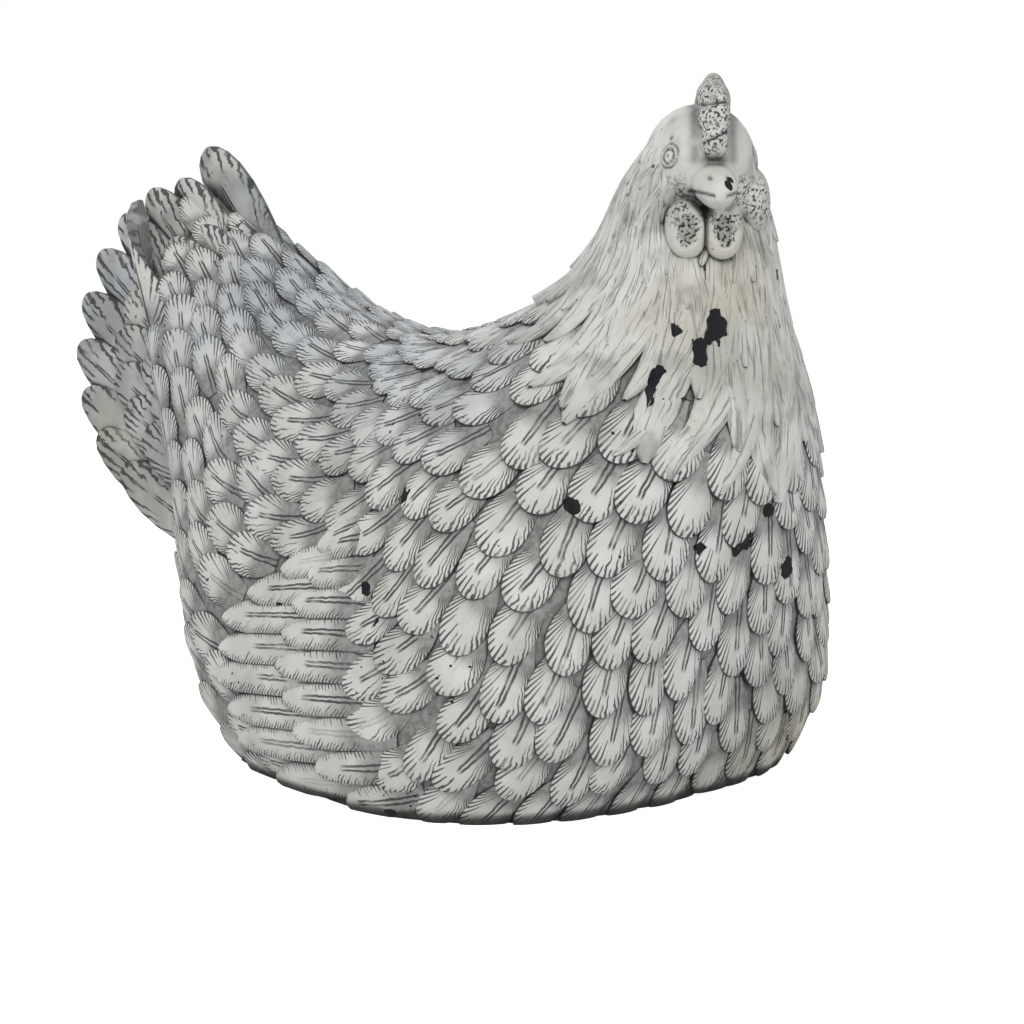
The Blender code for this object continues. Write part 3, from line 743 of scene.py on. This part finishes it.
# The face's dark marks, with the painted shade at the comb's foot and the painted shadow under it.
head_wash_and_shade = np.maximum.reduce([head_wash_and_shade, parting, 0.62 * comb_foot_wash_and_shade, 0.7 * lobe_edge])
mouth = hump(up - MOUTH_SLOPE * np.abs(across), -0.0080, 0.0006)
mouth *= beak * (np.abs(across) > 0.002)
nostril = hump(np.abs(across), 0.0032, 0.0007) * hump(up, -0.0010, 0.0008) * beak
head_wash_and_shade = np.maximum(head_wash_and_shade, np.maximum(mouth, nostril))
points -= normals * (MOUTH_DEPTH * np.maximum(mouth, nostril))[:, None]
head_mesh.vertices.foreach_set("co", points.ravel())
corners = np.empty(len(head_mesh.loops), int)
head_mesh.loops.foreach_get("vertex_index", corners)
mark = np.stack([head_wash_and_shade, pitted, np.zeros(count)], -1)[corners]
label(head_mesh, (0.5, 0.0, 0.3), (30.0, 8.0, HEAD + 0.5), mark)
head = bpy.data.objects.new("head", head_mesh)
casting.objects.link(head)


# The casting as one piece: everything above runs together, the underside is sawn flat to stand
# on, and the inside is hollow, open downwards, with a wall a few millimetres thick.
WALL = 0.0055
CAVITY_TOP = 0.13
CAVITY_TAIL = 0.85
CAVITY_DOME = 0.42


def combine(target, operation, operand):
    """Joins a collection to the target, or cuts an object from it."""
    change = target.modifiers.new(operation, "BOOLEAN")
    change.operation = operation
    change.solver = "MANIFOLD"
    if isinstance(operand, bpy.types.Collection):
        change.operand_type = "COLLECTION"
        change.collection = operand
    else:
        change.object = operand


casting.objects.unlink(body)
bpy.context.scene.collection.objects.link(body)
combine(body, "UNION", casting)
ground = bmesh.new()
bmesh.ops.create_cube(ground, size=1.0, matrix=Matrix.Translation((0, 0, -0.5)))
hollow = plumage_shape(CAVITY_TOP, CAVITY_TAIL, 40, 48, CAVITY_DOME, WALL)
cutters = [add_shape("ground", ground, size=(30.0, 8.0, INSIDE))]
cutters.append(add_shape("hollow", hollow, size=(30.0, 8.0, INSIDE)))
for cutter in cutters:
    casting.objects.unlink(cutter)
    bpy.context.scene.collection.objects.link(cutter)
    combine(body, "DIFFERENCE", cutter)
bpy.context.view_layer.update()
whole = body.evaluated_get(bpy.context.evaluated_depsgraph_get())
mesh = bpy.data.meshes.new_from_object(whole)
mesh.name = "hen"
mesh.transform(Matrix.Translation(-FOOTPRINT))
for leftover in [*casting.objects, *cutters, body]:
    bpy.data.objects.remove(leftover)
bpy.data.collections.remove(casting)
mesh.shade_smooth()
mesh.set_sharp_from_angle(angle=radians(48))
hen = bpy.data.objects.new("hen", mesh)
bpy.context.scene.collection.objects.link(hen)
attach(hen, "root")
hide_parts("hen_figurine")


# The finish: matt off-white paint over a black base, with a dark grey wash left in every groove,
# faint beige and blue-grey patches, and places where the paint is chipped through to black. Painted
# shade darkens the crevices, the feather roots and edges, the bare body between the feathers, the
# comb's foot, the space under the comb and the tail, and lies as darker beige low on the far side
# of the breast.
CHIPS = (
    (-0.0190, -0.1205, 0.1810, 0.0031), (-0.0190, -0.1203, 0.1765, 0.0045),
    (-0.0205, -0.1200, 0.1725, 0.0034), (-0.0324, -0.1132, 0.1762, 0.0028),
    (-0.0266, -0.1189, 0.1703, 0.0034), (-0.0271, -0.1199, 0.1651, 0.0030),
    (-0.0409, -0.1130, 0.1616, 0.0030), (-0.0447, -0.1127, 0.1558, 0.0023),
    (-0.0459, -0.1128, 0.1517, 0.0021), (-0.0337, -0.1206, 0.1539, 0.0028),
    (0.0131, -0.1229, 0.1767, 0.0022), (0.0156, -0.1197, 0.1946, 0.0022),
    (-0.0701, -0.0995, 0.1165, 0.0036), (0.0076, -0.1263, 0.1090, 0.0040),
    (-0.0233, -0.1249, 0.1103, 0.0024), (-0.0201, -0.1236, 0.1059, 0.0021),
    (-0.0026, -0.1245, 0.0992, 0.0042), (-0.0090, -0.1243, 0.0970, 0.0028),
    (-0.0279, -0.1224, 0.0987, 0.0030), (-0.0314, -0.1216, 0.1051, 0.0018),
    (0.0236, -0.1211, 0.0864, 0.0044), (-0.0901, -0.0356, 0.1162, 0.0034),
    (-0.1008, -0.0256, 0.0823, 0.0030), (-0.1046, -0.0351, 0.0715, 0.0028),
    (-0.1013, 0.0195, 0.0679, 0.0040), (-0.1013, 0.0275, 0.0690, 0.0030),
    (-0.0578, -0.0155, 0.1602, 0.0028), (-0.0621, -0.0493, 0.1616, 0.0020),
    (-0.1026, -0.0413, 0.0032, 0.0030), (0.0610, -0.0900, 0.1300, 0.0036),
    (0.0900, -0.0200, 0.1100, 0.0034), (0.0950, 0.0300, 0.0700, 0.0030),
    (0.0400, 0.0400, 0.1650, 0.0030), (0.0700, -0.0700, 0.0600, 0.0032),
    (-0.0224, -0.1293, 0.2265, 0.0020), (-0.0198, -0.1275, 0.2285, 0.0015),
)
PALE = (0.665, 0.660, 0.622, 1.0)
BRIGHT = (0.76, 0.76, 0.73, 1.0)
# The near-black of the wash, also used for painted shade in crevices and under feather edges.
WASH_AND_SHADE = (0.040, 0.042, 0.041, 1.0)
GREY = (0.17, 0.175, 0.165, 1.0)
BEIGE = (0.50, 0.470, 0.345, 1.0)
BLUE = (0.45, 0.53, 0.610, 1.0)
BLACK = (0.006, 0.007, 0.010, 1.0)
BARBS_PER_RADIAN = 14.0
BARB_PITCH_MM = 1.9
SHAFT_WOBBLE = 1.1
CREVICE_DEPTH = 0.0065
GROOVE_DEPTH = 0.0009

count = len(mesh.vertices)
points = np.empty(count * 3)
mesh.vertices.foreach_get("co", points)
points = points.reshape(-1, 3) + np.array(FOOTPRINT)
chip = np.full(count, 9.0)
for x, y, z, radius in CHIPS:
    chip = np.minimum(chip, np.linalg.norm(points - (x, y, z), axis=1) / radius)
x, y, z = points.T
beige_and_shade = step(0.16, 0.22, y) * (1 - step(0.13, 0.20, z))
throat = np.exp(-(((x + 0.01) / 0.03) ** 2 + ((z - 0.185) / 0.035) ** 2)) * (y < -0.1)
beige_and_shade = np.maximum(beige_and_shade, 0.6 * throat)
# Painted shade: low on the far side of the breast the paint turns a darker beige.
beige_and_shade = np.maximum(beige_and_shade, step(-0.02, 0.06, x - 1.2 * z + 0.03) * (y < 0) * 0.8)
blue = step(0.12, 0.17, z) * step(-0.08, -0.03, y) * 0.8
blue = np.maximum(blue, 0.5 * step(0.04, 0.10, y) * step(0.08, 0.14, z))
layer = mesh.attributes.new("tint", "FLOAT_VECTOR", "POINT")
tint = np.stack([beige_and_shade, blue, np.zeros(count)], -1)
layer.data.foreach_set("vector", tint.astype(np.float32).ravel())
layer = mesh.attributes.new("chip", "FLOAT", "POINT")
layer.data.foreach_set("value", chip.astype(np.float32))

paint = bpy.data.materials.new("antiqued_white")
paint.use_nodes = True
nodes, links = paint.node_tree.nodes, paint.node_tree.links
surface = nodes["Principled BSDF"]


def feed(socket, value):
    """Sets a socket, or links another node to it."""
    if isinstance(value, bpy.types.NodeSocket):
        links.new(value, socket)
    else:
        socket.default_value = value


def maths(operation, *values):
    node = nodes.new("ShaderNodeMath")
    node.operation = operation
    for socket, value in zip(node.inputs, values):
        feed(socket, value)
    return node.outputs[0]


def chained(operation, values):
    """The same operation on several values, one after another."""
    result = values[0]
    for value in values[1:]:
        result = maths(operation, result, value)
    return result


def product(*values):
    return chained("MULTIPLY", values)


def total(*values):
    return chained("ADD", values)


def most(*values):
    return chained("MAXIMUM", values)


def rest(value):
    """What is left of 1."""
    return maths("SUBTRACT", 1.0, value)


def ramp(value, low, high, start=0.0, end=1.0):
    """A smooth change from start, below low, to end, above high."""
    node = nodes.new("ShaderNodeMapRange")
    node.interpolation_type = "SMOOTHSTEP"
    for socket, setting in zip(node.inputs, (value, low, high, start, end)):
        feed(socket, setting)
    return node.outputs[0]


def blend(amount, below, above):
    node = nodes.new("ShaderNodeMix")
    node.data_type = "RGBA"
    feed(node.inputs[0], amount)
    feed(node.inputs[6], below)
    feed(node.inputs[7], above)
    return node.outputs[2]


def noise(scale, detail=2.0, vector=None, roughness=0.5):
    node = nodes.new("ShaderNodeTexNoise")
    node.inputs["Scale"].default_value = scale
    node.inputs["Detail"].default_value = detail
    node.inputs["Roughness"].default_value = roughness
    feed(node.inputs["Vector"], vector or place)
    return node.outputs[0]


def read(name):
    """The three parts of a value that the mesh carries."""
    node = nodes.new("ShaderNodeAttribute")
    node.attribute_name = name
    split = nodes.new("ShaderNodeSeparateXYZ")
    links.new(node.outputs["Vector"], split.inputs[0])
    return split.outputs[0], split.outputs[1], split.outputs[2], node.outputs["Fac"]


def scatter(value):
    """A number from 0 to 1 drawn for each whole value."""
    node = nodes.new("ShaderNodeTexWhiteNoise")
    node.noise_dimensions = "1D"
    feed(node.inputs["W"], value)
    return node.outputs[0]


def is_kind(kind):
    return maths("COMPARE", form, float(kind), 0.5)


place = nodes.new("ShaderNodeTexCoord").outputs["Object"]
u, v, edge, _ = read("plume")
long_mm, half_mm, code, _ = read("size")
# Dark marks of the head, among them painted shade beside and under the comb.
wash_and_shade_of_head, pitted, _, _ = read("mark")
beige_and_shade, blue, _, _ = read("tint")
chipped = read("chip")[3]
form = maths("FLOOR", code)
tone = maths("FRACT", code)
wobble = maths("SUBTRACT", noise(260.0, 2.0), 0.5)
along = product(u, long_mm)
off_shaft = maths("ABSOLUTE", total(product(v, half_mm), product(wobble, SHAFT_WOBBLE)))
side = maths("GREATER_THAN", v, 0.0)
feathered = rest(most(is_kind(SKIN), is_kind(HEAD), is_kind(INSIDE)))
level = is_kind(QUILL)
lock = is_kind(LOCK)
barbed = maths("SUBTRACT", feathered, lock)

# Barbs: short dark strokes that fan from the shaft to the feather's margin
fan = maths("ARCTAN2", off_shaft, maths("SUBTRACT", along, product(long_mm, 0.08)))
slant = maths("DIVIDE", maths("SUBTRACT", along, off_shaft), BARB_PITCH_MM)
stroke_at = total(product(level, slant), product(rest(level), product(fan, BARBS_PER_RADIAN)))
stroke_at = total(stroke_at, wobble, product(tone, 37.0), product(side, 11.37))
luck = scatter(total(maths("FLOOR", stroke_at), product(tone, 91.0)))
in_stroke = maths("ABSOLUTE", maths("SUBTRACT", maths("FRACT", stroke_at), 0.5))
depth = maths("SUBTRACT", edge, total(0.26, product(luck, 0.50)))
thin = maths("SUBTRACT", in_stroke, product(depth, 0.22))
stroke = product(ramp(thin, 0.05, 0.17, 1.0, 0.0), ramp(depth, 0.0, 0.10), barbed, ramp(u, 0.24, 0.40))

# Shaft: two fine lines side by side that close up towards the tip, left out on a few feathers
gap_mm = maths("SUBTRACT", 1.15, product(u, 0.75))
line = maths("ABSOLUTE", maths("SUBTRACT", off_shaft, gap_mm))
past_end = maths("SUBTRACT", u, total(0.60, product(tone, 0.18)))
drawn = ramp(scatter(product(tone, 531.0)), 0.12, 0.2)
shaft = product(ramp(line, 0.24, 0.52, 1.0, 0.0), ramp(past_end, 0.0, 0.08, 1.0, 0.0), barbed, drawn)

# Locks: long fine grooves
strand = total(product(v, 2.3), product(tone, 60.0), product(wobble, 0.4))
combed = nodes.new("ShaderNodeCombineXYZ")
feed(combed.inputs[0], strand)
feed(combed.inputs[1], product(u, 0.9))
hair = product(ramp(noise(3.0, 3.0, combed.outputs[0], 0.6), 0.53, 0.64), lock)

# The wash lies in crevices, at feather roots, under feather edges and in the pits of comb and face.
# In the crevices, found by ambient occlusion, at the roots and under the edges it is painted shade too.
occlusion = nodes.new("ShaderNodeAmbientOcclusion")
occlusion.samples = 8
occlusion.inputs["Distance"].default_value = CREVICE_DEPTH
crevice_wash_and_shade = ramp(occlusion.outputs["AO"], 0.44, 0.94, 1.0, 0.0)
# Painted shade as well as wash: the roots of the feathers darken where the row above lies over them.
root = product(ramp(u, 0.30, 0.58, 1.0, 0.0), barbed, 0.75)
# Painted shade as well as wash: the side walls under each feather's edge are darkened.
wash_and_shade_under_edge = product(ramp(edge, 0.975, 0.995), feathered)
blotch = noise(38.0, 4.0)
pits = product(ramp(noise(900.0, 2.0), 0.52, 0.60), pitted, ramp(blotch, 0.30, 0.48))

dark = most(stroke, shaft, wash_and_shade_of_head, product(pits, 0.9), product(wash_and_shade_under_edge, 0.8), product(hair, 0.62))
dark = product(dark, ramp(noise(120.0, 2.0), 0.30, 0.50, 0.55, 1.0))
# Painted shade as well as wash: crevices, feather roots and the bare body between the feathers go grey.
grey = most(crevice_wash_and_shade, root, product(is_kind(SKIN), 0.9))
smudge = product(ramp(noise(22.0, 4.0), 0.50, 0.72), 0.34)
neck_smudge = product(most(lock, is_kind(HEAD)), ramp(noise(75.0, 4.0), 0.46, 0.68, 0.0, 0.42))
# Painted shade: the tail feathers are darkened grey in broad blotches.
tail_shade = product(is_kind(TAIL), ramp(noise(45.0, 3.0), 0.35, 0.65, 0.12, 0.55))
colour = blend(ramp(noise(60.0, 3.0), 0.40, 0.65), PALE, BRIGHT)
# Beige, the darker beige low on the far side of the breast being painted shade.
colour = blend(product(beige_and_shade, 0.90, ramp(blotch, 0.34, 0.60)), colour, BEIGE)
colour = blend(product(blue, 0.75, ramp(noise(18.0, 3.0), 0.35, 0.60)), colour, BLUE)
colour = blend(most(smudge, neck_smudge, tail_shade), colour, GREY)
# The colour of that painted shade and wash: near-black mottled with dark grey.
shade_and_wash_colour = blend(ramp(noise(420.0, 3.0), 0.40, 0.60), WASH_AND_SHADE, GREY)
colour = blend(product(grey, 0.85), colour, shade_and_wash_colour)
# Painted shade: the deepest crevices go almost to the near-black of the wash.
colour = blend(product(crevice_wash_and_shade, crevice_wash_and_shade, 0.85), colour, WASH_AND_SHADE)
colour = blend(product(dark, 0.90), colour, WASH_AND_SHADE)

# Chips, ragged at their edge, and scattered flecks go down to the black base
ragged = total(chipped, product(maths("SUBTRACT", noise(230.0, 3.0), 0.5), 1.1))
flecks = product(ramp(noise(330.0, 1.0), 0.745, 0.765), ramp(noise(26.0, 2.0), 0.52, 0.60))
bare = most(ramp(ragged, 0.97, 1.03, 1.0, 0.0), product(flecks, rest(is_kind(INSIDE))))
colour = blend(bare, colour, BLACK)
links.new(colour, surface.inputs["Base Color"])
feed(surface.inputs["Roughness"], ramp(noise(90.0, 2.0), 0.3, 0.7, 0.58, 0.78))
surface.inputs["Specular IOR Level"].default_value = 0.35

# Strokes and chips lie a little below the paint, which has a fine grain
grain = product(noise(700.0, 3.0), 0.10)
height = maths("SUBTRACT", grain, product(most(dark, product(bare, 0.7)), 0.55))
bump = nodes.new("ShaderNodeBump")
bump.inputs["Strength"].default_value = 0.8
bump.inputs["Distance"].default_value = GROOVE_DEPTH
links.new(height, bump.inputs["Height"])
links.new(bump.outputs["Normal"], surface.inputs["Normal"])
mesh.materials.clear()
mesh.materials.append(paint)


# Floor and light: a plain pale floor, soft lamps and an even world, whose white shows only behind
# the hen.
FLOOR_SIZE = 6.0
FLOOR_LIFT = 0.85
SKY_LIGHT = 0.43
LAMP_AIM = Vector((0, 0, 0.12))
LAMPS = (
    ("key", (-1.15, -0.75, 1.25), 1.1, 12.5, (1.0, 0.985, 0.96)),
    ("fill", (0.55, -1.35, 0.55), 1.3, 3.0, (0.94, 0.97, 1.0)),
    ("rim", (0.3, 1.2, 1.1), 1.1, 6.0, (0.90, 0.95, 1.0)),
)
ground = bmesh.new()
bmesh.ops.create_grid(ground, x_segments=1, y_segments=1, size=FLOOR_SIZE / 2)
floor_mesh = bpy.data.meshes.new("floor")
ground.to_mesh(floor_mesh)
ground.free()
floor = bpy.data.objects.new("floor", floor_mesh)
bpy.context.scene.collection.objects.link(floor)
pale = bpy.data.materials.new("floor")
pale.use_nodes = True
nodes, links = pale.node_tree.nodes, pale.node_tree.links
ground_paint = nodes["Principled BSDF"]
ground_paint.inputs["Base Color"].default_value = (0.86, 0.86, 0.86, 1.0)
ground_paint.inputs["Roughness"].default_value = 0.9
glow = nodes.new("ShaderNodeEmission")
seen = nodes.new("ShaderNodeLightPath")
lift = nodes.new("ShaderNodeMath")
lift.operation = "MULTIPLY"
lift.inputs[1].default_value = FLOOR_LIFT
links.new(seen.outputs["Is Camera Ray"], lift.inputs[0])
links.new(lift.outputs[0], glow.inputs["Strength"])
both = nodes.new("ShaderNodeAddShader")
links.new(ground_paint.outputs[0], both.inputs[0])
links.new(glow.outputs[0], both.inputs[1])
links.new(both.outputs[0], nodes["Material Output"].inputs["Surface"])
floor_mesh.materials.append(pale)

for name, spot, width, power, tint in LAMPS:
    lamp = bpy.data.lights.new(name, "AREA")
    lamp.shape = "DISK"
    lamp.size = width
    lamp.energy = power
    lamp.color = tint
    held = bpy.data.objects.new(name, lamp)
    held.location = spot
    held.rotation_euler = (Vector(spot) - LAMP_AIM).to_track_quat("Z", "Y").to_euler()
    bpy.context.scene.collection.objects.link(held)

world = bpy.data.worlds.new("world")
world.use_nodes = True
bpy.context.scene.world = world
nodes, links = world.node_tree.nodes, world.node_tree.links
sky = nodes["Background"]
sky.inputs["Color"].default_value = (1.0, 1.0, 1.0, 1.0)
seen = nodes.new("ShaderNodeLightPath")
shown = nodes.new("ShaderNodeMath")
shown.operation = "MULTIPLY_ADD"
shown.inputs[1].default_value = 1 - SKY_LIGHT
shown.inputs[2].default_value = SKY_LIGHT
links.new(seen.outputs["Is Camera Ray"], shown.inputs[0])
links.new(shown.outputs[0], sky.inputs["Strength"])
bpy.context.scene.view_settings.view_transform = "Standard"
